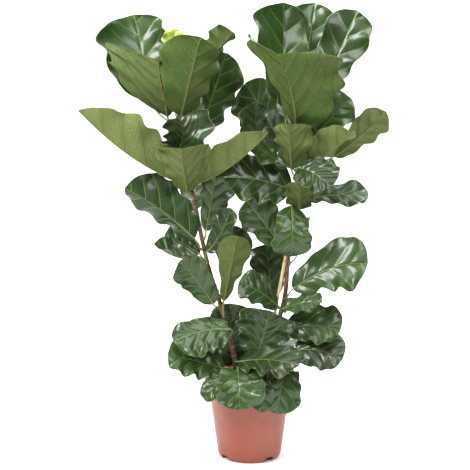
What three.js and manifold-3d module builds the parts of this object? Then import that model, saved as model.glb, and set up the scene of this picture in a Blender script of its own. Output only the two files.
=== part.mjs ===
// Potted fiddle leaf fig: two slender trunks and a cane in one nursery pot, each leaf on its own
// petiole.
// Millimetres, +Z up, origin at the centre of the pot's base, the front of the plant towards -Y.
import * as THREE from "three";
import Module from "manifold-3d";

const wasm = await Module();
wasm.setup();

// Driving dimensions
const POT_HEIGHT = 220;
const RIM_DIAMETER = 240;
const FOOT_DIAMETER = 163;
const WALL = 2.4;
const FLOOR = 3.5;
const COLLAR_HEIGHT = 16; // the wider band round the pot's top
const COLLAR_STEP = 10.5; // how far it stands out from the wall below it
const RIM_ROUNDING = 1.3;
const SOIL_DEPTH_BELOW_RIM = 20;
const PLANT_FOOT_BELOW_RIM = 20; // the level that heights on the plant are measured from
const PLANT_HEIGHT = 960; // from there to the highest leaf
const ROOT_DEPTH = 70; // how far trunks and cane go into the soil
const TRUNK_FOOT_DIAMETER = 14;
const TRUNK_TIP_DIAMETER = 9;
const CANE_DIAMETER = 9;
const LEAF_THICKNESS = 1.4;
const PETIOLE_DIAMETER = 5;
const GAP = 0.35; // left between parts that touch

// The leaf and trunk tables are drawn for these sizes and scale with the ones above.
const DRAWN_PLANT_HEIGHT = 960;
const DRAWN_RIM_DIAMETER = 240;
const DRAWN_TRUNK = [14, 9]; // diameters at the foot and the tip
const growth = PLANT_HEIGHT / DRAWN_PLANT_HEIGHT;
const spread = RIM_DIAMETER / DRAWN_RIM_DIAMETER;
const soilTop = POT_HEIGHT - SOIL_DEPTH_BELOW_RIM;
const plantFoot = POT_HEIGHT - PLANT_FOOT_BELOW_RIM;
const rootsEnd = soilTop - ROOT_DEPTH - plantFoot;
const rimRadius = RIM_DIAMETER / 2;
const footRadius = FOOT_DIAMETER / 2;

const SEGMENTS = 36; // round the pot
const NOTCHES = 4;
const NOTCH_WIDTH = 24;
const NOTCH_HEIGHT = 12;
const NOTCH_TAPER = 3;
const FIRST_NOTCH = 38; // degrees from +X
const SOIL_MIDDLE_DIAMETER = 120;
const SOIL_MIDDLE_RISE = 1; // the middle of the soil stands this much over its edge

const rad = THREE.MathUtils.degToRad;
const vec = (x, y, z) => new THREE.Vector3(x, y, z);

// ---------- solids ----------

// A closed solid through rings of the same number of points, always facing out. Each end is closed
// by a strip from the first point of its ring to the opposite one. A thin sheet's two sides must be
// split along the same diagonals: its under side starts at underFrom.
function loft(rings, underFrom = Infinity) {
  const n = rings[0].length;
  const points = rings.flat();
  const last = (rings.length - 1) * n;
  const triangles = [];
  for (let i = 0; i < rings.length - 1; i++) {
    for (let j = 0; j < n; j++) {
      const a = i * n + j;
      const b = i * n + ((j + 1) % n);
      if (j < underFrom) triangles.push([a, a + n, b + n], [a, b + n, b]);
      else triangles.push([a, a + n, b], [b, a + n, b + n]);
    }
  }
  for (let j = 0; j < n / 2; j++) {
    const [a, b, c, d] = [j, j + 1, n - j - 1, (n - j) % n];
    if (b !== c) triangles.push([a, b, c], [last + a, last + c, last + b]);
    if (a !== d) triangles.push([a, c, d], [last + a, last + d, last + c]);
  }
  let volume = 0;
  for (const [a, b, c] of triangles) {
    volume += points[a].dot(vec(0, 0, 0).crossVectors(points[b], points[c]));
  }
  if (volume < 0) triangles.forEach((t) => t.reverse());
  const geometry = new THREE.BufferGeometry().setFromPoints(points);
  geometry.setIndex(triangles.flat());
  return geometry;
}

function circle(radius, z, count = SEGMENTS) {
  const ring = [];
  for (let i = 0; i < count; i++) {
    const a = (i / count) * 2 * Math.PI;
    ring.push(vec(radius * Math.cos(a), radius * Math.sin(a), z));
  }
  return ring;
}

const revolve = (profile) => loft(profile.map(([r, z]) => circle(r, z)));

function toManifold(geometry) {
  const mesh = new wasm.Mesh({
    numProp: 3,
    vertProperties: new Float32Array(geometry.attributes.position.array),
    triVerts: new Uint32Array(geometry.index.array),
  });
  return new wasm.Manifold(mesh);
}

function toGeometry(manifold) {
  const mesh = manifold.getMesh();
  const geometry = new THREE.BufferGeometry();
  geometry.setAttribute("position", new THREE.BufferAttribute(mesh.vertProperties, 3));
  geometry.setIndex(new THREE.BufferAttribute(mesh.triVerts, 1));
  return geometry;
}

function cut(geometry, tools) {
  let solid = toManifold(geometry);
  for (const tool of tools) solid = solid.subtract(toManifold(tool));
  return toGeometry(solid);
}

// A smooth line through points (Catmull-Rom), a few steps to each span.
function smoothPath(points, steps = 2) {
  const path = [];
  for (let i = 0; i < points.length - 1; i++) {
    const p = [points[Math.max(i - 1, 0)], points[i], points[i + 1]];
    p.push(points[Math.min(i + 2, points.length - 1)]);
    for (let k = 0; k < steps; k++) {
      const t = k / steps;
      const at = vec(0, 0, 0);
      at.addScaledVector(p[0], 0.5 * (-t + 2 * t * t - t ** 3));
      at.addScaledVector(p[1], 0.5 * (2 - 5 * t * t + 3 * t ** 3));
      at.addScaledVector(p[2], 0.5 * (t + 4 * t * t - 3 * t ** 3));
      at.addScaledVector(p[3], 0.5 * (-t * t + t ** 3));
      path.push(at);
    }
  }
  path.push(points.at(-1).clone());
  return path;
}

// ---------- trunks and cane ----------

// Points from the roots' end up, measured from the plant's foot in the middle of the pot.
const TRUNKS = {
  left: [
    [-32, -5, rootsEnd], [-35, -5, 25], [-50, -5, 110], [-80, 0, 215],
    [-110, 0, 315], [-145, 0, 490], [-165, 0, 600], [-180, 0, 715],
  ],
  right: [
    [5, 10, rootsEnd], [30, 10, 20], [65, 10, 130], [90, 10, 215],
    [100, 10, 345], [120, 10, 550], [115, 10, 660], [110, 10, 725],
  ],
};
const CANE = [[20, -14, rootsEnd], [106, -12, 415]];
const CANE_JOINTS = 5;

const trunkPath = (name) => smoothPath(
  TRUNKS[name].map(([x, y, h]) => vec(x * growth, y * growth, h < 0 ? h : h * growth)),
);
const paths = { left: trunkPath("left"), right: trunkPath("right") };

// The middle and the radius of a trunk at a height above the plant's foot.
function trunkAt(name, height) {
  const path = paths[name];
  const above = path.findIndex((p) => p.z > height);
  const top = above < 0 ? path.length - 1 : above;
  const [a, b] = [path[top - 1], path[top]];
  const centre = a.clone().lerp(b, (height - a.z) / (b.z - a.z));
  const share = Math.max(height, 0) / path.at(-1).z;
  const radius = THREE.MathUtils.lerp(TRUNK_FOOT_DIAMETER, TRUNK_TIP_DIAMETER, share) / 2;
  const thickening = radius - THREE.MathUtils.lerp(...DRAWN_TRUNK, share) / 2;
  return { centre, radius, thickening, axis: b.clone().sub(a).normalize() };
}

// A trunk with the pointed bud sheath on its end.
function trunk(name, widen = 0) {
  const path = paths[name];
  const radii = path.map((p) => trunkAt(name, p.z).radius + widen);
  const rings = path.map((p, i) => circle(radii[i], 0, 8).map((q) => q.add(p)));
  rings[0].forEach((q) => (q.z -= widen));
  const end = path.at(-1);
  const bud = [[0.75, 8], [0.5, 18], [0.12, 30]];
  for (const [share, rise] of bud) {
    rings.push(circle(radii.at(-1) * share, rise, 8).map((q) => q.add(end)));
  }
  return loft(rings);
}

function cane(widen = 0) {
  const [foot, tip] = CANE.map(([x, y, h]) => vec(x * growth, y * growth, h < 0 ? h : h * growth));
  const stations = [[0, 1]];
  for (let i = 1; i < CANE_JOINTS; i++) {
    const t = i / CANE_JOINTS;
    stations.push([t - 0.008, 1], [t, 1.12], [t + 0.008, 1]);
  }
  stations.push([1, 1]);
  const radius = CANE_DIAMETER / 2 / 1.12;
  foot.z -= widen;
  return loft(stations.map(([t, swell]) => {
    const at = foot.clone().lerp(tip, t);
    return circle(radius * swell + widen, 0, 8).map((q) => q.add(at));
  }));
}

// ---------- leaves ----------

// Half width of a blade along its length: a fiddle shape, what a broad base adds, what a long
// tip takes.
const STATIONS = [0, 0.03, 0.08, 0.16, 0.28, 0.42, 0.56, 0.7, 0.81, 0.9, 0.96, 1];
const FIDDLE = [0.1, 0.2, 0.3, 0.38, 0.47, 0.64, 0.86, 1, 0.98, 0.8, 0.52, 0.05];
const BROAD = [0, 0.15, 0.3, 0.42, 0.4, 0.28, 0.12, 0, 0, 0, 0, 0];
const TAPER = [0, 0, 0, 0, 0, 0, 0.05, -0.08, -0.24, -0.3, -0.24, 0];
const RINGS = [0, 0.09, 0.2, 0.33, 0.47, 0.61, 0.74, 0.85, 0.94, 1];
const MIDRIB_THICKNESS = [4.4, 1.8]; // at the petiole, at the tip

function profile(share, values) {
  const i = Math.min(Math.max(STATIONS.findIndex((s) => s >= share), 1), STATIONS.length - 1);
  const t = (share - STATIONS[i - 1]) / (STATIONS[i] - STATIONS[i - 1]);
  return THREE.MathUtils.lerp(values[i - 1], values[i], t);
}

// A direction from a bearing (0 faces the front, 90 faces +X) and a rise above level.
function direction([bearing, rise]) {
  const flat = Math.cos(rad(rise));
  return vec(Math.sin(rad(bearing)) * flat, -Math.cos(rad(bearing)) * flat, Math.sin(rad(rise)));
}

const squareTo = (v, axis) => v.clone().addScaledVector(axis, -v.dot(axis)).normalize();

/* One leaf: petiole and blade as one solid.
   node: height of the petiole on its trunk. reach: from the trunk to the blade's foot.
   blade: from the foot to the tip. bow: how far the midrib's middle is off the straight line.
   faces: bearing and rise of the upper side. half: widths left and right of the midrib.
   fold: how far each half is turned up at the midrib. curl: how much more it turns by its edge.
   broad, taper: shape of the outline. sweep: how far forward each half runs.
   rim: the leaf hangs over the pot's rim and moves out with it. */
function leaf({ trunk: name, node, reach, blade, bow, faces, half, fold, curl, broad, taper, sweep, rim }) {
  const { centre, radius, thickening, axis } = trunkAt(name, node * growth);
  const away = squareTo(vec(reach[0], reach[1], 0), axis);
  const broadening = rim ? spread : growth;
  const scale = rim ? vec(spread, spread, 1) : vec(growth, growth, growth);
  const foot = centre.clone().divideScalar(growth).add(vec(...reach)).multiply(scale);
  foot.addScaledVector(away, thickening);
  const tip = foot.clone().add(vec(...blade).multiply(scale));
  const crown = foot.clone().add(tip).multiplyScalar(0.5).addScaledVector(vec(...bow).multiply(scale), 2);
  const up = direction(faces);
  const midrib = (s) => foot.clone().multiplyScalar((1 - s) ** 2)
    .addScaledVector(crown, 2 * s * (1 - s)).addScaledVector(tip, s * s);
  const along = (s) => crown.clone().sub(foot).multiplyScalar(1 - s)
    .addScaledVector(tip.clone().sub(crown), s).normalize();

  const start = centre.clone().addScaledVector(away, radius + GAP);
  const rings = petiole(start, away, foot, along(0), squareTo(up, along(0)));
  for (const s of RINGS) {
    const ahead = along(s);
    const normal = squareTo(up, ahead);
    const right = ahead.clone().cross(normal);
    const share = profile(s, FIDDLE) + broad * profile(s, BROAD) + taper * profile(s, TAPER);
    const width = Math.max(share, 0.04) * broadening;
    // The midrib stands along the line that halves the angle between the two sides.
    const lean = ease(s) * rad(fold[0] - fold[1]) / 2;
    const ribUp = normal.clone().multiplyScalar(Math.cos(lean)).addScaledVector(right, Math.sin(lean));
    const ribAt = (lift) => midrib(s).addScaledVector(ribUp, lift);
    // A point u across the blade (-1 left edge, 1 right edge), lifted by some thickness.
    const across = (u, lift) => {
      const side = u < 0 ? 0 : 1;
      const sign = u < 0 ? -1 : 1;
      const a = Math.abs(u) * width * half[side];
      const turn = rad(curl[side]) / (half[side] * broadening);
      const start = rad(fold[side]) * ease(s);
      const end = start + turn * a;
      const flat = Math.abs(turn) < 1e-9;
      const x = flat ? a * Math.cos(start) : (Math.sin(end) - Math.sin(start)) / turn;
      const z = flat ? a * Math.sin(start) : (Math.cos(start) - Math.cos(end)) / turn;
      return midrib(s)
        .addScaledVector(right, sign * (x - lift * Math.sin(end)))
        .addScaledVector(normal, z + lift * Math.cos(end))
        .addScaledVector(ahead, sweep[side] * a);
    };
    const narrow = Math.min(1, (width * Math.min(...half)) / 12);
    const thick = (LEAF_THICKNESS / 2) * narrow;
    const rib = (THREE.MathUtils.lerp(...MIDRIB_THICKNESS, s) / 2) * narrow;
    rings.push([
      across(-1, 0), across(-0.5, thick), ribAt(rib), across(0.5, thick),
      across(1, 0), across(0.5, -thick), ribAt(-rib), across(-0.5, -thick),
    ]);
  }
  return loft(rings, 4);
}

// A blade opens from half its fold at the petiole to all of it an eighth of the way along.
function ease(s) {
  return Math.min(1, 0.5 + 4 * s);
}

// The two rings of the petiole: one against the trunk's bark, one half way to the blade.
function petiole(start, away, foot, ahead, normal) {
  const length = foot.distanceTo(start);
  const leaving = away.clone().add(vec(0, 0, 0.6)).normalize();
  const c1 = start.clone().addScaledVector(leaving, length * 0.35);
  const c2 = foot.clone().addScaledVector(ahead, -length * 0.35);
  const middle = start.clone().add(foot).multiplyScalar(0.125)
    .addScaledVector(c1, 0.375).addScaledVector(c2, 0.375);
  const heading = foot.clone().add(c2).sub(c1).sub(start).normalize();
  const turn = new THREE.Quaternion();
  const carry = (v, from, to) => v.clone().applyQuaternion(turn.setFromUnitVectors(from, to));
  const upMiddle = carry(normal, ahead, heading);
  const upStart = carry(upMiddle, heading, away);
  return [[start, away, upStart, 1.1], [middle, heading, upMiddle, 0.92]].map(([at, axis, up, swell]) => {
    const side = axis.clone().cross(up);
    const r = (PETIOLE_DIAMETER / 2) * swell;
    const ring = [];
    for (let i = 0; i < 8; i++) {
      const a = Math.PI - (i * Math.PI) / 4;
      ring.push(at.clone().addScaledVector(side, r * Math.cos(a)).addScaledVector(up, r * Math.sin(a)));
    }
    return ring;
  });
}

// ---------- the leaves, trunk by trunk ----------

const LEAVES = [
  { name: "left_crown_young", trunk: "left", node: 700, reach: [-15, 10, 95], blade: [5, 15, 105],
    bow: [0, 0, 0], faces: [10, 10], half: [32, 30], fold: [0, 0],
    curl: [20, 20], broad: 0, taper: 0, sweep: [0, 0], young: true },
  { name: "left_crown_small_right", trunk: "left", node: 680, reach: [60, 25, 130], blade: [75, -15, 80],
    bow: [0, 0, 0], faces: [165, 40], half: [60, 52], fold: [60, 30],
    curl: [10, 20], broad: 0.5, taper: 0, sweep: [0, 0] },
  { name: "left_crown_back", trunk: "left", node: 655, reach: [-75, 25, 65], blade: [-50, 95, 215],
    bow: [0, 15, 0], faces: [15, 20], half: [120, 75], fold: [5, 10],
    curl: [35, 40], broad: 1, taper: 0, sweep: [0, 0] },
  { name: "left_crown_front_right", trunk: "left", node: 645, reach: [0, -40, 45], blade: [50, -35, 190],
    bow: [0, -20, 0], faces: [190, 25], half: [78, 85], fold: [10, 0],
    curl: [25, 20], broad: 0.5, taper: 0, sweep: [0, 0] },
  { name: "left_crown_front_left", trunk: "left", node: 640, reach: [-35, -30, 45], blade: [-20, -40, 140],
    bow: [0, -20, 0], faces: [172, 25], half: [60, 150], fold: [75, 5],
    curl: [20, 30], broad: 1, taper: 0, sweep: [0, 0.6] },
  { name: "left_crown_right", trunk: "left", node: 625, reach: [45, 10, 25], blade: [65, 25, 190],
    bow: [0, 0, 0], faces: [40, -5], half: [52, 74], fold: [10, 0],
    curl: [15, 10], broad: 0.8, taper: 0, sweep: [0, 0] },
  { name: "left_crown_rear", trunk: "left", node: 610, reach: [10, 45, 30], blade: [30, 130, 110],
    bow: [0, 10, 15], faces: [0, 60], half: [70, 70], fold: [10, 10],
    curl: [20, 20], broad: 0.5, taper: 0, sweep: [0, 0] },
  { name: "left_crown_inner", trunk: "left", node: 580, reach: [-15, -60, 25], blade: [0, 5, 80],
    bow: [10, -5, 0], faces: [20, 35], half: [80, 80], fold: [25, 20],
    curl: [30, 45], broad: 1, taper: -0.3, sweep: [0, 0] },
  { name: "left_wing_right", trunk: "left", node: 500, reach: [-5, -40, 15], blade: [195, -40, 135],
    bow: [0, -10, -20], faces: [-90, 60], half: [60, 70], fold: [40, 72],
    curl: [0, -10], broad: 1, taper: 1, sweep: [0, 0] },
  { name: "left_wing_left", trunk: "left", node: 490, reach: [-30, -30, 30], blade: [-250, -10, 180],
    bow: [0, -15, -20], faces: [90, 55], half: [95, 90], fold: [75, 45],
    curl: [10, 10], broad: 1, taper: 1, sweep: [0, 0] },
  { name: "left_wing_front", trunk: "left", node: 475, reach: [-15, -60, 25], blade: [-10, -70, 115],
    bow: [0, -10, 0], faces: [178, 25], half: [70, 70], fold: [15, 15],
    curl: [25, 20], broad: 0.4, taper: -0.5, sweep: [0.15, 0.15] },
  { name: "left_mid_rear", trunk: "left", node: 420, reach: [-5, 40, 25], blade: [-20, 150, 60],
    bow: [0, 10, 20], faces: [0, 75], half: [65, 65], fold: [5, 5],
    curl: [15, 15], broad: 0.3, taper: 0, sweep: [0, 0] },
  { name: "left_upper_right", trunk: "left", node: 370, reach: [10, -10, 25], blade: [30, -15, 160],
    bow: [0, 0, 5], faces: [5, 20], half: [36, 56], fold: [10, 10],
    curl: [15, 15], broad: 0.35, taper: 0, sweep: [0, 0] },
  { name: "left_upper_left", trunk: "left", node: 345, reach: [-25, -15, 30], blade: [-170, -45, 135],
    bow: [0, 0, 10], faces: [10, 30], half: [35, 78], fold: [-50, 10],
    curl: [-15, 10], broad: 0.8, taper: 0.6, sweep: [0, 0] },
  { name: "left_mid_left", trunk: "left", node: 315, reach: [-25, -25, 15], blade: [-105, -35, 40],
    bow: [0, 0, -15], faces: [0, 60], half: [40, 44], fold: [35, 15],
    curl: [20, 15], broad: 0.65, taper: 0, sweep: [0, 0] },
  { name: "left_mid_left_back", trunk: "left", node: 315, reach: [-20, 15, 15], blade: [-90, 25, 45],
    bow: [0, 0, 5], faces: [0, 30], half: [42, 42], fold: [0, 0],
    curl: [15, 15], broad: 0.35, taper: 0, sweep: [0, 0] },
  { name: "left_mid_right", trunk: "left", node: 310, reach: [0, -30, 35], blade: [60, -30, 115],
    bow: [5, 0, -10], faces: [-30, 15], half: [35, 32], fold: [0, 0],
    curl: [15, 15], broad: 0.65, taper: 0, sweep: [0, 0] },
  { name: "left_low_centre_back", trunk: "left", node: 200, reach: [15, 15, 35], blade: [25, 20, 165],
    bow: [0, 0, 0], faces: [0, 10], half: [50, 50], fold: [10, 10],
    curl: [15, 15], broad: 0, taper: 0, sweep: [0, 0] },
  { name: "left_low_left", trunk: "left", node: 195, reach: [-20, -15, 10], blade: [-85, -55, 120],
    bow: [0, 0, 10], faces: [-20, 25], half: [42, 45], fold: [0, 0],
    curl: [15, 15], broad: 0.75, taper: 0, sweep: [0, 0] },
  { name: "left_low_centre", trunk: "left", node: 170, reach: [0, -15, 45], blade: [35, -70, 180],
    bow: [0, -5, 0], faces: [180, 20], half: [44, 42], fold: [10, 10],
    curl: [15, 15], broad: 0, taper: 0, sweep: [0, 0] },
  { name: "left_foot_left_upper", trunk: "left", node: 115, reach: [0, -35, 30], blade: [-140, -55, -20],
    bow: [0, 5, 10], faces: [0, 50], half: [66, 42], fold: [-10, 0],
    curl: [5, 15], broad: 1, taper: 0, sweep: [0, 0] },
  { name: "left_foot_centre", trunk: "left", node: 55, reach: [10, -55, 10], blade: [150, -70, 10],
    bow: [0, 0, 10], faces: [-15, 65], half: [54, 62], fold: [0, 0],
    curl: [15, 15], broad: 0.75, taper: 0, sweep: [0, 0] },
  { name: "left_foot_left_lower", trunk: "left", node: 40, reach: [-30, -45, 5], blade: [-140, -40, 50],
    bow: [0, 0, 0], faces: [0, 40], half: [48, 58], fold: [0, 0],
    curl: [15, 15], broad: 1, taper: 0, sweep: [0, 0], rim: true },
  { name: "left_rim_front", trunk: "left", node: 35, reach: [5, -70, 15], blade: [5, -85, -80],
    bow: [0, -15, 20], faces: [0, 35], half: [66, 58], fold: [0, 0],
    curl: [20, 35], broad: 0.9, taper: 0, sweep: [0, 0], rim: true },
  { name: "left_rim_left", trunk: "left", node: 25, reach: [-20, -60, 10], blade: [-55, -60, -55],
    bow: [0, -10, 20], faces: [-30, 30], half: [30, 30], fold: [0, 0],
    curl: [20, 20], broad: 0.85, taper: 0, sweep: [0, 0], rim: true },
  { name: "left_foot_back", trunk: "left", node: 20, reach: [-5, 20, 10], blade: [-15, 0, 170],
    bow: [0, 0, 0], faces: [0, 20], half: [58, 64], fold: [0, 0],
    curl: [15, 15], broad: 1, taper: 0, sweep: [0, 0] },
  { name: "right_crown_back_middle", trunk: "right", node: 670, reach: [15, 45, 45], blade: [40, 90, 250],
    bow: [0, 10, 0], faces: [0, 15], half: [70, 70], fold: [10, 10],
    curl: [20, 20], broad: 0, taper: 0, sweep: [0, 0] },
  { name: "right_crown_back_right", trunk: "right", node: 665, reach: [60, 15, 60], blade: [95, 35, 220],
    bow: [0, 10, 0], faces: [-15, 15], half: [62, 66], fold: [10, 0],
    curl: [20, 20], broad: 0.4, taper: 0, sweep: [0, 0] },
  { name: "right_crown_back_left", trunk: "right", node: 650, reach: [-30, 0, 55], blade: [0, 85, 260],
    bow: [0, 20, 0], faces: [25, -10], half: [136, 65], fold: [20, 5],
    curl: [23, 25], broad: 1, taper: 0, sweep: [0, 0] },
  { name: "right_crown_front", trunk: "right", node: 625, reach: [-5, -55, 35], blade: [-50, -75, 180],
    bow: [10, -10, 0], faces: [175, 25], half: [130, 100], fold: [0, 40],
    curl: [20, 10], broad: 0.5, taper: -0.2, sweep: [-0.25, 0.85] },
  { name: "right_crown_rear", trunk: "right", node: 600, reach: [-15, 45, 30], blade: [-50, 140, 110],
    bow: [0, 10, 15], faces: [0, 60], half: [75, 75], fold: [10, 10],
    curl: [20, 20], broad: 0.5, taper: 0, sweep: [0, 0] },
  { name: "right_neck_left_dark", trunk: "right", node: 595, reach: [-30, 10, 0], blade: [-100, 35, 170],
    bow: [0, -5, 0], faces: [-20, -25], half: [75, 70], fold: [0, 10],
    curl: [15, 15], broad: 0.65, taper: 0, sweep: [0, 0] },
  { name: "right_neck_right", trunk: "right", node: 580, reach: [35, -10, 45], blade: [95, -30, 105],
    bow: [0, -5, 5], faces: [10, 45], half: [52, 50], fold: [30, 0],
    curl: [10, 10], broad: 0.75, taper: 0, sweep: [0, 0] },
  { name: "right_neck_left_upright", trunk: "right", node: 565, reach: [-100, -5, 35], blade: [-10, -15, 120],
    bow: [0, 5, 0], faces: [20, 15], half: [58, 32], fold: [15, 15],
    curl: [15, 15], broad: 0.8, taper: 0, sweep: [0, 0] },
  { name: "right_neck_far_right", trunk: "right", node: 550, reach: [95, 20, 30], blade: [125, -30, 115],
    bow: [0, 0, -5], faces: [180, 20], half: [42, 42], fold: [10, 10],
    curl: [10, 10], broad: 0.55, taper: 0, sweep: [0, 0] },
  { name: "right_neck_left_flat", trunk: "right", node: 545, reach: [-25, -25, 15], blade: [-100, -35, 65],
    bow: [0, 0, 0], faces: [10, 50], half: [42, 42], fold: [0, -15],
    curl: [10, 10], broad: 0.35, taper: 0, sweep: [0, 0] },
  { name: "right_wing_right", trunk: "right", node: 535, reach: [20, -20, 25], blade: [110, -85, 90],
    bow: [0, 10, -10], faces: [180, 30], half: [52, 58], fold: [60, 25],
    curl: [-5, 0], broad: 1, taper: 0.3, sweep: [0, 0] },
  { name: "right_wing_front", trunk: "right", node: 530, reach: [-15, -45, 25], blade: [-10, -50, 115],
    bow: [0, -5, 5], faces: [168, 30], half: [62, 48], fold: [20, 20],
    curl: [20, 25], broad: 0.8, taper: 0, sweep: [0, 0] },
  { name: "right_upper_crinkled", trunk: "right", node: 515, reach: [5, -60, 45], blade: [75, -60, -40],
    bow: [-5, 0, 10], faces: [10, 35], half: [55, 52], fold: [5, 0],
    curl: [10, 5], broad: 1, taper: 0, sweep: [0, 0] },
  { name: "right_upper_left", trunk: "right", node: 475, reach: [-10, -20, 25], blade: [-170, -40, 35],
    bow: [0, 0, 10], faces: [-15, 30], half: [65, 68], fold: [0, 0],
    curl: [15, 15], broad: 0.9, taper: 0, sweep: [0, 0] },
  { name: "right_upper_right", trunk: "right", node: 455, reach: [35, -20, 20], blade: [150, -25, 10],
    bow: [0, 0, 10], faces: [0, 50], half: [42, 42], fold: [0, 0],
    curl: [10, 10], broad: 0.35, taper: 0, sweep: [0, 0] },
  { name: "right_mid_hanging", trunk: "right", node: 435, reach: [-5, -35, 25], blade: [0, -25, -125],
    bow: [0, -30, 0], faces: [10, 10], half: [50, 50], fold: [0, -5],
    curl: [15, 5], broad: 0.85, taper: 0, sweep: [0, 0] },
  { name: "right_upper_front", trunk: "right", node: 385, reach: [20, -25, 65], blade: [0, -45, 75],
    bow: [0, -5, -5], faces: [180, 30], half: [42, 42], fold: [10, 15],
    curl: [0, 10], broad: 0.85, taper: 0, sweep: [0, 0] },
  { name: "right_mid_left_low", trunk: "right", node: 325, reach: [-25, -25, 35], blade: [-85, -25, 115],
    bow: [0, -5, 5], faces: [-15, 25], half: [50, 56], fold: [0, 0],
    curl: [20, 15], broad: 0.6, taper: 0, sweep: [0, 0] },
  { name: "right_mid_rear", trunk: "right", node: 300, reach: [25, 40, 25], blade: [-30, 140, 60],
    bow: [0, 10, 20], faces: [0, 75], half: [65, 65], fold: [5, 5],
    curl: [15, 15], broad: 0.3, taper: 0, sweep: [0, 0] },
  { name: "right_mid_right_large", trunk: "right", node: 220, reach: [20, -25, 25], blade: [185, -45, 75],
    bow: [0, 0, 20], faces: [0, 35], half: [74, 74], fold: [0, 0],
    curl: [15, 15], broad: 0.35, taper: 0, sweep: [0, 0] },
  { name: "right_mid_left", trunk: "right", node: 185, reach: [-25, 0, 30], blade: [-15, 35, 135],
    bow: [0, 0, 0], faces: [10, 5], half: [54, 58], fold: [10, 10],
    curl: [15, 15], broad: 0.35, taper: 0, sweep: [0, 0] },
  { name: "right_low_left", trunk: "right", node: 180, reach: [-10, -40, 25], blade: [-100, -40, 70],
    bow: [0, -15, 10], faces: [0, 40], half: [44, 44], fold: [0, 0],
    curl: [15, 15], broad: 0.65, taper: 0, sweep: [0, 0] },
  { name: "right_low_right_small", trunk: "right", node: 165, reach: [5, -35, 30], blade: [100, -45, 30],
    bow: [0, 0, 5], faces: [0, 55], half: [32, 36], fold: [0, 0],
    curl: [15, 15], broad: 0.85, taper: 0, sweep: [0, 0] },
  { name: "right_foot_right_upper", trunk: "right", node: 110, reach: [35, -25, 25], blade: [135, -45, 10],
    bow: [0, 0, 15], faces: [0, 40], half: [58, 56], fold: [0, 0],
    curl: [15, 15], broad: 0.65, taper: 0, sweep: [0, 0] },
  { name: "right_foot_right_lower", trunk: "right", node: 65, reach: [70, -50, 25], blade: [120, -45, -10],
    bow: [0, 0, 10], faces: [0, 40], half: [54, 56], fold: [0, 0],
    curl: [15, 15], broad: 0.85, taper: 0, sweep: [0, 0] },
  { name: "right_foot_rear", trunk: "right", node: 65, reach: [40, 40, 0], blade: [50, 120, -10],
    bow: [0, -5, 20], faces: [-5, 80], half: [60, 60], fold: [5, 0],
    curl: [15, 15], broad: 0.4, taper: 0, sweep: [0, 0] },
  { name: "right_rim_right", trunk: "right", node: 40, reach: [50, -75, 10], blade: [-20, -50, -105],
    bow: [5, -15, 25], faces: [10, 45], half: [52, 46], fold: [0, 0],
    curl: [20, 30], broad: 0.75, taper: 0, sweep: [0, 0], rim: true },
  { name: "right_foot_back", trunk: "right", node: 35, reach: [-15, -40, 35], blade: [30, -15, 125],
    bow: [0, 5, 0], faces: [0, 20], half: [74, 70], fold: [0, 0],
    curl: [15, 10], broad: 0.8, taper: 0, sweep: [0, 0] },
  { name: "right_rim_middle", trunk: "right", node: 20, reach: [-25, -85, 25], blade: [30, -60, -90],
    bow: [0, -15, 25], faces: [0, 25], half: [32, 32], fold: [0, 15],
    curl: [0, 15], broad: 0.85, taper: 0, sweep: [0, 0], rim: true },
];

// ---------- pot and soil ----------

// The wall's outer radius at a height, from the foot to the collar.
const collarFoot = POT_HEIGHT - COLLAR_HEIGHT;
const bodyTop = rimRadius - COLLAR_STEP;
const wallRadius = (z) => THREE.MathUtils.lerp(footRadius, bodyTop, z / collarFoot);
const FOOT_ROUNDING = 9; // height over which the wall draws in to the foot
const FOOT_DRAW_IN = 5.5;
const HEEL = 6.5; // height over which the inside narrows to the floor
const FLOOR_INSET = 12; // from the foot's radius to the flat of the floor
const COLLAR_WALL = 4.2;

function pot() {
  const shell = revolve([
    [footRadius - FOOT_DRAW_IN, 0], [footRadius - 2, 2.5], [wallRadius(FOOT_ROUNDING), FOOT_ROUNDING],
    [bodyTop, collarFoot], [rimRadius - 2, collarFoot + 1.5], [rimRadius, collarFoot + 4],
    [rimRadius, POT_HEIGHT - 3], [rimRadius - RIM_ROUNDING, POT_HEIGHT - 0.6],
    [rimRadius - 2 * RIM_ROUNDING, POT_HEIGHT], [rimRadius - 3 * RIM_ROUNDING, POT_HEIGHT - 0.8],
    [rimRadius - COLLAR_WALL, collarFoot + 4], [bodyTop - WALL, collarFoot - 1],
    [wallRadius(FLOOR + HEEL) - WALL, FLOOR + HEEL], [footRadius - FLOOR_INSET + 4, FLOOR + 0.5],
    [footRadius - FLOOR_INSET, FLOOR],
  ]);
  const reach = 2 * FLOOR_INSET; // deep enough to cut right through the foot
  const notches = [];
  for (let i = 0; i < NOTCHES; i++) {
    const block = loft([
      rectangle(reach, NOTCH_WIDTH, -NOTCH_HEIGHT / 3),
      rectangle(reach, NOTCH_WIDTH - NOTCH_TAPER, NOTCH_HEIGHT),
    ]);
    block.translate(footRadius + 1, 0, 0);
    block.rotateZ(rad(FIRST_NOTCH + (i * 360) / NOTCHES));
    notches.push(block);
  }
  return cut(shell, notches);
}

function rectangle(x, y, z) {
  return [vec(-x / 2, -y / 2, z), vec(x / 2, -y / 2, z), vec(x / 2, y / 2, z), vec(-x / 2, y / 2, z)];
}

function soil() {
  const inside = (z) => wallRadius(z) - WALL - GAP;
  const heel = FLOOR + HEEL + 1.5;
  const body = revolve([
    [footRadius - FLOOR_INSET - 1, FLOOR + GAP], [inside(heel - 0.5) - 0.5, heel],
    [inside(soilTop - 4), soilTop - 4], [inside(soilTop) - 3, soilTop - 1],
    [SOIL_MIDDLE_DIAMETER / 2, soilTop + SOIL_MIDDLE_RISE],
  ]);
  const sockets = [trunk("left", GAP), trunk("right", GAP), cane(GAP)];
  sockets.forEach((socket) => socket.translate(0, 0, plantFoot));
  return cut(body, sockets);
}

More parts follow.
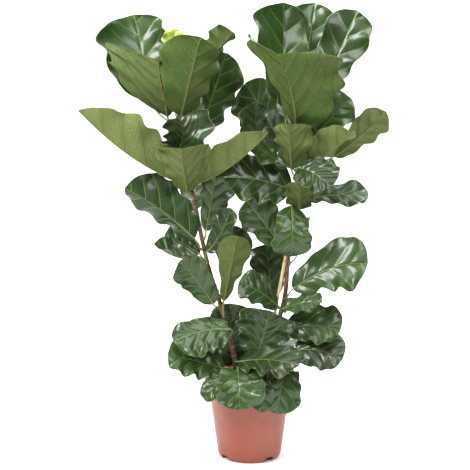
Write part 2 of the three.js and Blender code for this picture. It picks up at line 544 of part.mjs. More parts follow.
// ---------- assembly ----------

const plant = new THREE.Group();
plant.name = "potted_fiddle_leaf_fig";

function add(name, geometry, color, roughness, lift = 0) {
  geometry.translate(0, 0, lift);
  geometry.computeVertexNormals();
  const material = new THREE.MeshStandardMaterial({ color, roughness, metalness: 0 });
  const mesh = new THREE.Mesh(geometry, material);
  mesh.name = name;
  plant.add(mesh);
}

add("pot", pot(), 0xc97a64, 0.5);
add("soil", soil(), 0x3a2a20, 0.95);
add("trunk_left", trunk("left"), 0x6f4a36, 0.85, plantFoot);
add("trunk_right", trunk("right"), 0x6f4a36, 0.85, plantFoot);
add("bamboo_cane", cane(), 0xcfb184, 0.6, plantFoot);
for (const spec of LEAVES) {
  add(`leaf_${spec.name}`, leaf(spec), spec.young ? 0xa9b93c : 0x2f5d2e, 0.35, plantFoot);
}

export default plant;
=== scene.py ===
"""Potted fiddle leaf fig: two slender trunks and a bamboo cane in a nursery pot."""
import random
from math import cos, pi, radians, sin

import bpy
import numpy as np
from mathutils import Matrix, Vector


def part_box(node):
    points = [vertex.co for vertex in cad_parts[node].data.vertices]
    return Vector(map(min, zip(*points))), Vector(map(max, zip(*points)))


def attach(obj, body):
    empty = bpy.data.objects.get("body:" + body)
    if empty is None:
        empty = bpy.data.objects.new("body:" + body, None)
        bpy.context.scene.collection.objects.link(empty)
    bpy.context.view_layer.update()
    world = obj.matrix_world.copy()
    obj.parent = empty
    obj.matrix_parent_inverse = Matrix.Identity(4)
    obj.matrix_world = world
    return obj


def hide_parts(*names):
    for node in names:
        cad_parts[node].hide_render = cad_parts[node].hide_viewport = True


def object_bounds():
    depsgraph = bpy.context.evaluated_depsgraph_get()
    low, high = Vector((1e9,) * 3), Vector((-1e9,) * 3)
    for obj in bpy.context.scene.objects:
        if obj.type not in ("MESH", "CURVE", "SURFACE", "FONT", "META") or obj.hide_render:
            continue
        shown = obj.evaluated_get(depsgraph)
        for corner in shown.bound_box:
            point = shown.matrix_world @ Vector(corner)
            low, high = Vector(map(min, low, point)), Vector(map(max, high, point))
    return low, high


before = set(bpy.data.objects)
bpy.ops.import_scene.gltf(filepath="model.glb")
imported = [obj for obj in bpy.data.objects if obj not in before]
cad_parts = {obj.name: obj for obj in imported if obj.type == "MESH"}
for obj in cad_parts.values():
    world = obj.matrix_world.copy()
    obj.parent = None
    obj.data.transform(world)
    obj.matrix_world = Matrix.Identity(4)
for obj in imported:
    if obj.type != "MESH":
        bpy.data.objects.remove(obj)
cad_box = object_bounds()
bpy.ops.object.select_all(action="DESELECT")

MM = 0.001

# ---------- sizes taken from the frame ----------

POT_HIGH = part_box("pot")[1]
RIM_RADIUS = POT_HIGH[0]
POT_HEIGHT = POT_HIGH[2]
COLLAR = 16 * MM
COLLAR_FOOT = POT_HEIGHT - COLLAR
WALL = 2.4 * MM
FLOOR = 3.5 * MM
BODY_TOP_RADIUS = RIM_RADIUS - 10.5 * MM
FOOT_RADIUS = RIM_RADIUS - 38.5 * MM
NOTCHES = 4
NOTCH_WIDTH = 24 * MM
NOTCH_HEIGHT = 12 * MM
FIRST_NOTCH = 38

ROOT_DEPTH = 70
SOIL_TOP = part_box("trunk_left")[0][2] + ROOT_DEPTH * MM
SOIL_LOW, SOIL_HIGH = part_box("soil")
SOIL_RADIUS = SOIL_HIGH[0]
SOIL_FOOT = SOIL_LOW[2]

# ---------- trunks and cane: from the roots' end up, in millimetres above the soil ----------

TRUNKS = {
    "left": [
        (-32, -5, -ROOT_DEPTH), (-35, -5, 25), (-50, -5, 110), (-80, 0, 215),
        (-110, 0, 315), (-145, 0, 490), (-165, 0, 600), (-180, 0, 715),
    ],
    "right": [
        (5, 10, -ROOT_DEPTH), (30, 10, 20), (65, 10, 130), (90, 10, 215),
        (100, 10, 345), (120, 10, 550), (115, 10, 660), (110, 10, 725),
    ],
}
TRUNK_FOOT_RADIUS = 7
TRUNK_TIP_RADIUS = 4.5
CANE = [(20, -14, -ROOT_DEPTH), (106, -12, 415)]
CANE_RADIUS = 4.02
CANE_JOINTS = 5
CANE_WALL = 1.3
CANE_HOLLOW = 9

# ---------- the leaves, trunk by trunk ----------

# name, trunk, node height, petiole's reach, blade from foot to tip, bow of the midrib,
# bearing and rise of the upper side, half widths, folds, curls, broad base, long tip, sweeps
LEAVES = [
    ("left_crown_young", "left", 700, (-15, 10, 95), (5, 15, 105), (0, 0, 0), (10, 10),
     (32, 30), (0, 0), (20, 20), 0, 0, (0, 0)),
    ("left_crown_small_right", "left", 680, (60, 25, 130), (75, -15, 80), (0, 0, 0), (165, 40),
     (60, 52), (60, 30), (10, 20), 0.5, 0, (0, 0)),
    ("left_crown_back", "left", 655, (-75, 25, 65), (-50, 95, 215), (0, 15, 0), (15, 20),
     (120, 75), (5, 10), (35, 40), 1, 0, (0, 0)),
    ("left_crown_front_right", "left", 645, (0, -40, 45), (50, -35, 190), (0, -20, 0), (190, 25),
     (78, 85), (10, 0), (25, 20), 0.5, 0, (0, 0)),
    ("left_crown_front_left", "left", 640, (-35, -30, 45), (-20, -40, 140), (0, -20, 0), (172, 25),
     (60, 150), (75, 5), (20, 30), 1, 0, (0, 0.6)),
    ("left_crown_right", "left", 625, (45, 10, 25), (65, 25, 190), (0, 0, 0), (40, -5),
     (52, 74), (10, 0), (15, 10), 0.8, 0, (0, 0)),
    ("left_crown_rear", "left", 610, (10, 45, 30), (30, 130, 110), (0, 10, 15), (0, 60),
     (70, 70), (10, 10), (20, 20), 0.5, 0, (0, 0)),
    ("left_crown_inner", "left", 580, (-15, -60, 25), (0, 5, 80), (10, -5, 0), (20, 35),
     (80, 80), (25, 20), (30, 45), 1, -0.3, (0, 0)),
    ("left_wing_right", "left", 500, (-5, -40, 15), (195, -40, 135), (0, -10, -20), (-90, 60),
     (60, 70), (40, 72), (0, -10), 1, 1, (0, 0)),
    ("left_wing_left", "left", 490, (-30, -30, 30), (-250, -10, 180), (0, -15, -20), (90, 55),
     (95, 90), (75, 45), (10, 10), 1, 1, (0, 0)),
    ("left_wing_front", "left", 475, (-15, -60, 25), (-10, -70, 115), (0, -10, 0), (178, 25),
     (70, 70), (15, 15), (25, 20), 0.4, -0.5, (0.15, 0.15)),
    ("left_mid_rear", "left", 420, (-5, 40, 25), (-20, 150, 60), (0, 10, 20), (0, 75),
     (65, 65), (5, 5), (15, 15), 0.3, 0, (0, 0)),
    ("left_upper_right", "left", 370, (10, -10, 25), (30, -15, 160), (0, 0, 5), (5, 20),
     (36, 56), (10, 10), (15, 15), 0.35, 0, (0, 0)),
    ("left_upper_left", "left", 345, (-25, -15, 30), (-170, -45, 135), (0, 0, 10), (10, 30),
     (35, 78), (-50, 10), (-15, 10), 0.8, 0.6, (0, 0)),
    ("left_mid_left", "left", 315, (-25, -25, 15), (-105, -35, 40), (0, 0, -15), (0, 60),
     (40, 44), (35, 15), (20, 15), 0.65, 0, (0, 0)),
    ("left_mid_left_back", "left", 315, (-20, 15, 15), (-90, 25, 45), (0, 0, 5), (0, 30),
     (42, 42), (0, 0), (15, 15), 0.35, 0, (0, 0)),
    ("left_mid_right", "left", 310, (0, -30, 35), (60, -30, 115), (5, 0, -10), (-30, 15),
     (35, 32), (0, 0), (15, 15), 0.65, 0, (0, 0)),
    ("left_low_centre_back", "left", 200, (15, 15, 35), (25, 20, 165), (0, 0, 0), (0, 10),
     (50, 50), (10, 10), (15, 15), 0, 0, (0, 0)),
    ("left_low_left", "left", 195, (-20, -15, 10), (-85, -55, 120), (0, 0, 10), (-20, 25),
     (42, 45), (0, 0), (15, 15), 0.75, 0, (0, 0)),
    ("left_low_centre", "left", 170, (0, -15, 45), (35, -70, 180), (0, -5, 0), (180, 20),
     (44, 42), (10, 10), (15, 15), 0, 0, (0, 0)),
    ("left_foot_left_upper", "left", 115, (0, -35, 30), (-140, -55, -20), (0, 5, 10), (0, 50),
     (66, 42), (-10, 0), (5, 15), 1, 0, (0, 0)),
    ("left_foot_centre", "left", 55, (10, -55, 10), (150, -70, 10), (0, 0, 10), (-15, 65),
     (54, 62), (0, 0), (15, 15), 0.75, 0, (0, 0)),
    ("left_foot_left_lower", "left", 40, (-30, -45, 5), (-140, -40, 50), (0, 0, 0), (0, 40),
     (48, 58), (0, 0), (15, 15), 1, 0, (0, 0)),
    ("left_rim_front", "left", 35, (5, -70, 15), (5, -85, -80), (0, -15, 20), (0, 35),
     (66, 58), (0, 0), (20, 35), 0.9, 0, (0, 0)),
    ("left_rim_left", "left", 25, (-20, -60, 10), (-55, -60, -55), (0, -10, 20), (-30, 30),
     (30, 30), (0, 0), (20, 20), 0.85, 0, (0, 0)),
    ("left_foot_back", "left", 20, (-5, 20, 10), (-15, 0, 170), (0, 0, 0), (0, 20),
     (58, 64), (0, 0), (15, 15), 1, 0, (0, 0)),
    ("right_crown_back_middle", "right", 670, (15, 45, 45), (40, 90, 250), (0, 10, 0), (0, 15),
     (70, 70), (10, 10), (20, 20), 0, 0, (0, 0)),
    ("right_crown_back_right", "right", 665, (60, 15, 60), (95, 35, 220), (0, 10, 0), (-15, 15),
     (62, 66), (10, 0), (20, 20), 0.4, 0, (0, 0)),
    ("right_crown_back_left", "right", 650, (-30, 0, 55), (0, 85, 260), (0, 20, 0), (25, -10),
     (136, 65), (20, 5), (23, 25), 1, 0, (0, 0)),
    ("right_crown_front", "right", 625, (-5, -55, 35), (-50, -75, 180), (10, -10, 0), (175, 25),
     (130, 100), (0, 40), (20, 10), 0.5, -0.2, (-0.25, 0.85)),
    ("right_crown_rear", "right", 600, (-15, 45, 30), (-50, 140, 110), (0, 10, 15), (0, 60),
     (75, 75), (10, 10), (20, 20), 0.5, 0, (0, 0)),
    ("right_neck_left_dark", "right", 595, (-30, 10, 0), (-100, 35, 170), (0, -5, 0), (-20, -25),
     (75, 70), (0, 10), (15, 15), 0.65, 0, (0, 0)),
    ("right_neck_right", "right", 580, (35, -10, 45), (95, -30, 105), (0, -5, 5), (10, 45),
     (52, 50), (30, 0), (10, 10), 0.75, 0, (0, 0)),
    ("right_neck_left_upright", "right", 565, (-100, -5, 35), (-10, -15, 120), (0, 5, 0), (20, 15),
     (58, 32), (15, 15), (15, 15), 0.8, 0, (0, 0)),
    ("right_neck_far_right", "right", 550, (95, 20, 30), (125, -30, 115), (0, 0, -5), (180, 20),
     (42, 42), (10, 10), (10, 10), 0.55, 0, (0, 0)),
    ("right_neck_left_flat", "right", 545, (-25, -25, 15), (-100, -35, 65), (0, 0, 0), (10, 50),
     (42, 42), (0, -15), (10, 10), 0.35, 0, (0, 0)),
    ("right_wing_right", "right", 535, (20, -20, 25), (110, -85, 90), (0, 10, -10), (180, 30),
     (52, 58), (60, 25), (-5, 0), 1, 0.3, (0, 0)),
    ("right_wing_front", "right", 530, (-15, -45, 25), (-10, -50, 115), (0, -5, 5), (168, 30),
     (62, 48), (20, 20), (20, 25), 0.8, 0, (0, 0)),
    ("right_upper_crinkled", "right", 515, (5, -60, 45), (75, -60, -40), (-5, 0, 10), (10, 35),
     (55, 52), (5, 0), (10, 5), 1, 0, (0, 0)),
    ("right_upper_left", "right", 475, (-10, -20, 25), (-170, -40, 35), (0, 0, 10), (-15, 30),
     (65, 68), (0, 0), (15, 15), 0.9, 0, (0, 0)),
    ("right_upper_right", "right", 455, (35, -20, 20), (150, -25, 10), (0, 0, 10), (0, 50),
     (42, 42), (0, 0), (10, 10), 0.35, 0, (0, 0)),
    ("right_mid_hanging", "right", 435, (-5, -35, 25), (0, -25, -125), (0, -30, 0), (10, 10),
     (50, 50), (0, -5), (15, 5), 0.85, 0, (0, 0)),
    ("right_upper_front", "right", 385, (20, -25, 65), (0, -45, 75), (0, -5, -5), (180, 30),
     (42, 42), (10, 15), (0, 10), 0.85, 0, (0, 0)),
    ("right_mid_left_low", "right", 325, (-25, -25, 35), (-85, -25, 115), (0, -5, 5), (-15, 25),
     (50, 56), (0, 0), (20, 15), 0.6, 0, (0, 0)),
    ("right_mid_rear", "right", 300, (25, 40, 25), (-30, 140, 60), (0, 10, 20), (0, 75),
     (65, 65), (5, 5), (15, 15), 0.3, 0, (0, 0)),
    ("right_mid_right_large", "right", 220, (20, -25, 25), (185, -45, 75), (0, 0, 20), (0, 35),
     (74, 74), (0, 0), (15, 15), 0.35, 0, (0, 0)),
    ("right_mid_left", "right", 185, (-25, 0, 30), (-15, 35, 135), (0, 0, 0), (10, 5),
     (54, 58), (10, 10), (15, 15), 0.35, 0, (0, 0)),
    ("right_low_left", "right", 180, (-10, -40, 25), (-100, -40, 70), (0, -15, 10), (0, 40),
     (44, 44), (0, 0), (15, 15), 0.65, 0, (0, 0)),
    ("right_low_right_small", "right", 165, (5, -35, 30), (100, -45, 30), (0, 0, 5), (0, 55),
     (32, 36), (0, 0), (15, 15), 0.85, 0, (0, 0)),
    ("right_foot_right_upper", "right", 110, (35, -25, 25), (135, -45, 10), (0, 0, 15), (0, 40),
     (58, 56), (0, 0), (15, 15), 0.65, 0, (0, 0)),
    ("right_foot_right_lower", "right", 65, (70, -50, 25), (120, -45, -10), (0, 0, 10), (0, 40),
     (54, 56), (0, 0), (15, 15), 0.85, 0, (0, 0)),
    ("right_foot_rear", "right", 65, (40, 40, 0), (50, 120, -10), (0, -5, 20), (-5, 80),
     (60, 60), (5, 0), (15, 15), 0.4, 0, (0, 0)),
    ("right_rim_right", "right", 40, (50, -75, 10), (-20, -50, -105), (5, -15, 25), (10, 45),
     (52, 46), (0, 0), (20, 30), 0.75, 0, (0, 0)),
    ("right_foot_back", "right", 35, (-15, -40, 35), (30, -15, 125), (0, 5, 0), (0, 20),
     (74, 70), (0, 0), (15, 10), 0.8, 0, (0, 0)),
    ("right_rim_middle", "right", 20, (-25, -85, 25), (30, -60, -90), (0, -15, 25), (0, 25),
     (32, 32), (0, 15), (0, 15), 0.85, 0, (0, 0)),
]


# ---------- working with pieces ----------

def named(name):
    """The primitive or join that was just made, under its own name."""
    piece = bpy.context.object
    piece.name = name
    piece.data.name = name
    return piece


def only(*pieces):
    """Selects these pieces and nothing else; the first is the active one."""
    bpy.ops.object.select_all(action="DESELECT")
    for piece in pieces:
        piece.select_set(True)
    bpy.context.view_layer.objects.active = pieces[0]


def places(piece):
    """The places of a piece's points, one row each."""
    flat = np.empty(len(piece.data.vertices) * 3, dtype=np.float32)
    piece.data.vertices.foreach_get("co", flat)
    return flat.reshape(-1, 3).astype(float)


def place(piece, points):
    """Moves a piece's points to these places."""
    piece.data.vertices.foreach_set("co", points.astype(np.float32).ravel())
    piece.data.update()


def finish(piece, node):
    """Lets a piece ride on the plant's one body and stand in for its CAD node, which is hidden."""
    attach(piece, "root")
    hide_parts(node)


def use(piece, *materials):
    """Gives a piece these materials and no others."""
    piece.data.materials.clear()
    for material in materials:
        piece.data.materials.append(material)


def write_attribute(piece, name, values):
    """Stores one number for each point, for a material to read."""
    attribute = piece.data.attributes.new(name, "FLOAT", "POINT")
    attribute.data.foreach_set("value", np.asarray(values, dtype=np.float32))


# ---------- materials ----------

def new_material(name):
    """A material with its node tree and its shader."""
    material = bpy.data.materials.new(name)
    material.use_nodes = True
    tree = material.node_tree
    return material, tree, tree.nodes["Principled BSDF"]


def node(tree, kind, inputs=(), **settings):
    """One shader node; inputs pairs a socket with a value or with another node's output."""
    made = tree.nodes.new(kind)
    for key, value in settings.items():
        setattr(made, key, value)
    for key, value in inputs:
        if isinstance(value, bpy.types.NodeSocket):
            tree.links.new(value, made.inputs[key])
        else:
            made.inputs[key].default_value = value
    return made


def maths(tree, operation, *values):
    """The outcome of one sum on numbers or on other nodes' outputs."""
    return node(tree, "ShaderNodeMath", enumerate(values), operation=operation).outputs[0]


def fade(tree, value, start, end, at_start=1.0, at_end=0.0):
    """Goes smoothly from at_start to at_end as value goes from start to end."""
    inputs = [("Value", value), ("From Min", start), ("From Max", end)]
    inputs += [("To Min", at_start), ("To Max", at_end)]
    return node(tree, "ShaderNodeMapRange", inputs, interpolation_type="SMOOTHSTEP").outputs[0]


def blend(tree, share, first, second):
    """The first colour where share is 0, the second where it is 1."""
    inputs = [(0, share), (6, first), (7, second)]
    return node(tree, "ShaderNodeMix", inputs, data_type="RGBA").outputs[2]


def part_of(tree, share, mask):
    """A mask times a share, which is a number or another mask."""
    return maths(tree, "MULTIPLY", mask, share)


def attribute(tree, name):
    """A number stored for each point of the piece."""
    return node(tree, "ShaderNodeAttribute", attribute_name=name).outputs["Fac"]


def finish_with(tree, shader, colour, roughness):
    """Gives a shader its colour and its roughness."""
    tree.links.new(colour, shader.inputs["Base Color"])
    tree.links.new(roughness, shader.inputs["Roughness"])


def object_place(tree):
    """The place on the piece, in metres."""
    return node(tree, "ShaderNodeTexCoord").outputs["Object"]


def stretched(tree, vector, scale):
    """Places multiplied along each axis: a scale below 1 draws a pattern out that way."""
    return node(tree, "ShaderNodeMapping", [("Vector", vector), ("Scale", scale)]).outputs[0]


def noise(tree, vector, scale, detail=3.0, roughness=0.55):
    inputs = [("Vector", vector), ("Scale", scale), ("Detail", detail), ("Roughness", roughness)]
    return node(tree, "ShaderNodeTexNoise", inputs).outputs["Fac"]


def cells(tree, vector, scale, feature="DISTANCE_TO_EDGE"):
    inputs = [("Vector", vector), ("Scale", scale)]
    return node(tree, "ShaderNodeTexVoronoi", inputs, feature=feature).outputs["Distance"]


def bump(tree, shader, height, depth, strength):
    inputs = [("Height", height), ("Distance", depth), ("Strength", strength)]
    tree.links.new(node(tree, "ShaderNodeBump", inputs).outputs[0], shader.inputs["Normal"])


# The side veins leave the midrib in turn, left and right, and bend towards the tip. Lengths are
# shares of the blade's.
VEINS = 4.8
VEIN_RISE = 0.72
VEIN_BEND = 0.8
VEIN_STAGGER = 0.3
FIRST_VEIN = 0.35


def vein_phase(across, along, is_right):
    """Whole numbers fall on the side veins."""
    leaving = along - VEIN_RISE * across - VEIN_BEND * across * across
    return VEINS * leaving + VEIN_STAGGER * is_right + FIRST_VEIN


def vein_lines(tree, width):
    """Masks of the veins, the blade near them, the fine net between them and the margin."""
    flat = node(tree, "ShaderNodeUVMap", uv_map="flat").outputs[0]
    flat_parts = node(tree, "ShaderNodeSeparateXYZ", [(0, flat)])
    sideways = maths(tree, "SUBTRACT", flat_parts.outputs[0], 0.5)
    across = maths(tree, "ABSOLUTE", sideways)
    along = flat_parts.outputs[1]
    wobble = noise(tree, flat, 5.0, 2.0)
    swing = maths(tree, "MULTIPLY_ADD", wobble, 0.03, -0.015)
    run = maths(tree, "MULTIPLY_ADD", across, -VEIN_RISE, maths(tree, "ADD", along, swing))
    bend = part_of(tree, VEIN_BEND, part_of(tree, across, across))
    is_right = maths(tree, "GREATER_THAN", sideways, 0.0)
    stagger = maths(tree, "MULTIPLY_ADD", is_right, VEIN_STAGGER, FIRST_VEIN)
    phase = maths(tree, "MULTIPLY_ADD", maths(tree, "SUBTRACT", run, bend), VEINS, stagger)
    off = maths(tree, "ABSOLUTE", maths(tree, "SUBTRACT", phase, maths(tree, "ROUND", phase)))
    own = node(tree, "ShaderNodeUVMap", uv_map="blade").outputs[0]
    own_parts = node(tree, "ShaderNodeSeparateXYZ", [(0, own)])
    out = maths(tree, "ABSOLUTE", maths(tree, "MULTIPLY_ADD", own_parts.outputs[0], 2.0, -1.0))
    thin = fade(tree, out, 0.3, 1.0, 1.0, 0.35)
    side = part_of(tree, thin, fade(tree, off, 0.012 * width, 0.042 * width))
    side = part_of(tree, fade(tree, phase, 0.5, 0.6, 0.0, 1.0), side)
    rib_edge = fade(tree, along, 0.0, 1.0, 0.013 * width, 0.005 * width)
    rib = maths(tree, "SUBTRACT", 1.0, maths(tree, "DIVIDE", across, rib_edge))
    rib = fade(tree, rib, 0.0, 0.6, 0.0, 1.0)
    branch = fade(tree, cells(tree, flat, 13.0), 0.0, 0.05)
    mesh = fade(tree, cells(tree, flat, 34.0), 0.0, 0.09)
    nearest = maths(tree, "MINIMUM", off, part_of(tree, 8.0, across))
    return {
        "main": maths(tree, "MAXIMUM", rib, side),
        "near": fade(tree, nearest, 0.0, 0.3),
        "net": maths(tree, "MAXIMUM", part_of(tree, 0.8, branch), mesh),
        "along": along,
        "margin": fade(tree, out, 0.965, 0.995, 0.0, 1.0),
    }


def mottle(tree, at, cloud_scale, all_light):
    """Clouds of light green, more of them on a leaf with a higher tone."""
    cloud = noise(tree, at, cloud_scale, 4.0)
    level = maths(tree, "MULTIPLY_ADD", cloud, 0.7, part_of(tree, 0.6, attribute(tree, "tone")))
    return fade(tree, level, 0.25, all_light, 0, 1)


def upper_side(name, dark, light, vein, shine):
    """The glossy face of a blade, with its pale sunken veins."""
    material, tree, shader = new_material(name)
    at = object_place(tree)
    lines = vein_lines(tree, 1.0)
    colour = blend(tree, mottle(tree, at, 16.0, 0.7), dark, light)
    colour = blend(tree, part_of(tree, 0.35, lines["near"]), colour, light)
    colour = blend(tree, part_of(tree, 0.08, lines["net"]), colour, vein)
    colour = blend(tree, part_of(tree, 0.75, lines["main"]), colour, vein)
    colour = blend(tree, part_of(tree, 0.6, lines["margin"]), colour, vein)
    rough = fade(tree, noise(tree, at, 40.0, 3.0), 0.2, 0.8, shine - 0.06, shine + 0.1)
    finish_with(tree, shader, colour, maths(tree, "MULTIPLY_ADD", lines["main"], 0.12, rough))
    sunk = maths(tree, "MULTIPLY_ADD", lines["net"], -0.35, part_of(tree, -1.0, lines["main"]))
    grain = maths(tree, "MULTIPLY_ADD", noise(tree, at, 260.0, 2.0), 0.25, sunk)
    bump(tree, shader, grain, 0.8 * MM, 0.7)
    shader.inputs["Specular IOR Level"].default_value = 0.28
    shader.inputs["Coat Weight"].default_value = 0.5
    shader.inputs["Coat Roughness"].default_value = 0.2
    return material


def under_side(name, dark, light, vein):
    """The matt face of a blade, darker by its foot, with the veins standing out of it."""
    material, tree, shader = new_material(name)
    at = object_place(tree)
    lines = vein_lines(tree, 1.15)
    foot_shade = fade(tree, lines["along"], 0.0, 0.6, 0.2, 1.0)
    colour = blend(tree, part_of(tree, foot_shade, mottle(tree, at, 14.0, 0.85)), dark, light)
    # Painted shade: the blade is darkened in a band beside each vein, standing in for the shadow
    # that the raised vein casts.
    colour = blend(tree, part_of(tree, 0.3, lines["near"]), colour, dark)
    colour = blend(tree, part_of(tree, 0.12, lines["net"]), colour, vein)
    colour = blend(tree, part_of(tree, 0.75, lines["main"]), colour, vein)
    colour = blend(tree, part_of(tree, 0.5, lines["margin"]), colour, vein)
    rough = fade(tree, noise(tree, at, 60.0, 3.0), 0.2, 0.8, 0.52, 0.68)
    finish_with(tree, shader, colour, rough)
    standing = maths(tree, "MULTIPLY_ADD", lines["net"], 0.45, lines["main"])
    grain = maths(tree, "MULTIPLY_ADD", noise(tree, at, 300.0, 2.0), 0.3, standing)
    bump(tree, shader, grain, 2.4 * MM, 1.0)
    shader.inputs["Specular IOR Level"].default_value = 0.3
    return material


def stalk_skin(name, green, brown):
    """Petioles: green with brownish flecks and fine bumps."""
    material, tree, shader = new_material(name)
    at = object_place(tree)
    flecks = fade(tree, noise(tree, at, 90.0, 4.0), 0.5, 0.72, 0.0, 0.8)
    rough = fade(tree, noise(tree, at, 120.0), 0.3, 0.7, 0.42, 0.6)
    finish_with(tree, shader, blend(tree, flecks, green, brown), rough)
    bump(tree, shader, noise(tree, at, 320.0, 3.0), 0.5 * MM, 0.5)
    return material


def bark():
    """Reddish brown bark, paler on the leaf scars, papery brown on the bud."""
    material, tree, shader = new_material("bark")
    at = object_place(tree)
    grain = noise(tree, stretched(tree, at, (1.0, 1.0, 0.22)), 190.0, 5.0, 0.62)
    deep, ridge = (0.045, 0.022, 0.014, 1), (0.19, 0.085, 0.045, 1)
    colour = blend(tree, fade(tree, grain, 0.3, 0.72, 0, 1), deep, ridge)
    grey = fade(tree, noise(tree, at, 34.0, 4.0), 0.52, 0.7, 0.0, 0.55)
    colour = blend(tree, grey, colour, (0.22, 0.17, 0.13, 1))
    dots = fade(tree, cells(tree, at, 260.0, "F1"), 0.08, 0.2)
    colour = blend(tree, part_of(tree, 0.5, dots), colour, (0.36, 0.24, 0.15, 1))
    colour = blend(tree, part_of(tree, 0.6, attribute(tree, "scar")), colour, (0.3, 0.2, 0.12, 1))
    colour = blend(tree, attribute(tree, "bud"), colour, (0.24, 0.16, 0.06, 1))
    finish_with(tree, shader, colour, fade(tree, grain, 0.2, 0.8, 0.6, 0.85))
    bump(tree, shader, maths(tree, "MULTIPLY_ADD", dots, 0.4, grain), 1.0 * MM, 0.9)
    return material


def bamboo():
    """Pale tan cane with lengthwise streaks and brown joints."""
    material, tree, shader = new_material("bamboo")
    at = object_place(tree)
    streaks = noise(tree, stretched(tree, at, (1.0, 1.0, 0.04)), 420.0, 4.0, 0.6)
    tan, straw = (0.5, 0.33, 0.14, 1), (0.78, 0.62, 0.36, 1)
    colour = blend(tree, fade(tree, streaks, 0.3, 0.7, 0, 1), tan, straw)
    stain = fade(tree, noise(tree, at, 28.0, 4.0), 0.5, 0.72, 0.0, 0.6)
    colour = blend(tree, stain, colour, (0.4, 0.25, 0.1, 1))
    colour = blend(tree, part_of(tree, 0.75, attribute(tree, "scar")), colour, (0.27, 0.15, 0.06, 1))
    finish_with(tree, shader, colour, fade(tree, streaks, 0.2, 0.8, 0.38, 0.55))
    bump(tree, shader, streaks, 0.35 * MM, 0.6)
    return material


def pot_plastic():
    """Moulded terracotta-coloured plastic: satin, slightly scuffed, with faint flow marks."""
    material, tree, shader = new_material("terracotta_plastic")
    at = object_place(tree)
    deep, pale = (0.262, 0.058, 0.031, 1), (0.305, 0.075, 0.042, 1)
    colour = blend(tree, fade(tree, noise(tree, at, 7.0, 4.0), 0.3, 0.7, 0, 1), deep, pale)
    upright = stretched(tree, at, (1, 1, 0.5))
    dust = fade(tree, noise(tree, upright, 26.0, 6.0, 0.65), 0.52, 0.75, 0.0, 0.35)
    colour = blend(tree, dust, colour, (0.315, 0.13, 0.097, 1))
    around = stretched(tree, at, (1, 1, 6.0))
    scuffs = fade(tree, noise(tree, around, 60.0, 5.0, 0.7), 0.62, 0.74, 0.0, 0.3)
    colour = blend(tree, scuffs, colour, (0.34, 0.145, 0.105, 1))
    rough = fade(tree, noise(tree, at, 48.0, 5.0), 0.3, 0.7, 0.34, 0.46)
    finish_with(tree, shader, colour, maths(tree, "MULTIPLY_ADD", dust, 0.4, rough))
    orange_peel = noise(tree, at, 420.0, 2.0)
    flow = noise(tree, stretched(tree, at, (1, 1, 8.0)), 18.0, 3.0)
    bump(tree, shader, maths(tree, "MULTIPLY_ADD", flow, 1.6, orange_peel), 0.18 * MM, 0.5)
    return material


def potting_soil():
    """Dark peat with lighter fibres and crumbs."""
    material, tree, shader = new_material("peat")
    at = object_place(tree)
    grain = noise(tree, at, 160.0, 6.0, 0.7)
    wet, dry = (0.012, 0.008, 0.006, 1), (0.075, 0.045, 0.028, 1)
    colour = blend(tree, fade(tree, grain, 0.35, 0.7, 0, 1), wet, dry)
    fibre = fade(tree, cells(tree, stretched(tree, at, (1, 0.3, 1)), 150.0), 0.0, 0.05)
    colour = blend(tree, part_of(tree, 0.25, fibre), colour, (0.2, 0.13, 0.08, 1))
    finish_with(tree, shader, colour, fade(tree, grain, 0.2, 0.8, 0.8, 0.98))
    bump(tree, shader, grain, 2.5 * MM, 1.0)
    return material


LEAF_TOP = upper_side(
    "leaf_upper_side", dark=(0.005, 0.0165, 0.0028, 1), light=(0.023, 0.064, 0.0085, 1),
    vein=(0.16, 0.21, 0.055, 1), shine=0.36,
)
LEAF_UNDER = under_side(
    "leaf_under_side", dark=(0.036, 0.082, 0.006, 1), light=(0.13, 0.17, 0.045, 1),
    vein=(0.19, 0.165, 0.05, 1),
)
YOUNG_TOP = upper_side(
    "young_upper_side", dark=(0.2, 0.29, 0.03, 1), light=(0.34, 0.43, 0.06, 1),
    vein=(0.5, 0.55, 0.18, 1), shine=0.38,
)
YOUNG_UNDER = under_side(
    "young_under_side", dark=(0.2, 0.3, 0.05, 1), light=(0.32, 0.42, 0.1, 1),
    vein=(0.45, 0.5, 0.2, 1),
)
STALK = stalk_skin("stalk_skin", green=(0.16, 0.22, 0.06, 1), brown=(0.14, 0.08, 0.035, 1))

# ---------- trunks and cane ----------

def smooth_path(points, steps):
    """A smooth line through points (Catmull-Rom), with that many steps to each span."""
    points = np.array(points, float)
    line = []
    for i in range(len(points) - 1):
        before = points[max(i - 1, 0)]
        after = points[min(i + 2, len(points) - 1)]
        a, b = points[i], points[i + 1]
        for k in range(steps):
            t = k / steps
            bend = (2 * before - 5 * a + 4 * b - after) * t * t
            twist = (3 * a - before - 3 * b + after) * t ** 3
            line.append(0.5 * (2 * a + (b - before) * t + (bend + twist)))
    line.append(points[-1])
    return np.array(line)


PATHS = {name: smooth_path(points, 2) for name, points in TRUNKS.items()}


def unit(v):
    """Vectors of length 1."""
    return v / np.linalg.norm(v, axis=-1, keepdims=True)


def trunk_at(name, height):
    """The middle, radius and direction of a trunk at a height above the soil."""
    path = PATHS[name]
    top = int(np.argmax(path[:, 2] > height))
    a, b = path[top - 1], path[top]
    centre = a + (b - a) * (height - a[2]) / (b[2] - a[2])
    share = max(height, 0) / path[-1][2]
    radius = TRUNK_FOOT_RADIUS + (TRUNK_TIP_RADIUS - TRUNK_FOOT_RADIUS) * share
    return centre, radius, unit(b - a)


def to_frame(points):
    """From millimetres above the soil's middle to metres in the frame."""
    return np.asarray(points) * MM + np.array([0, 0, SOIL_TOP])


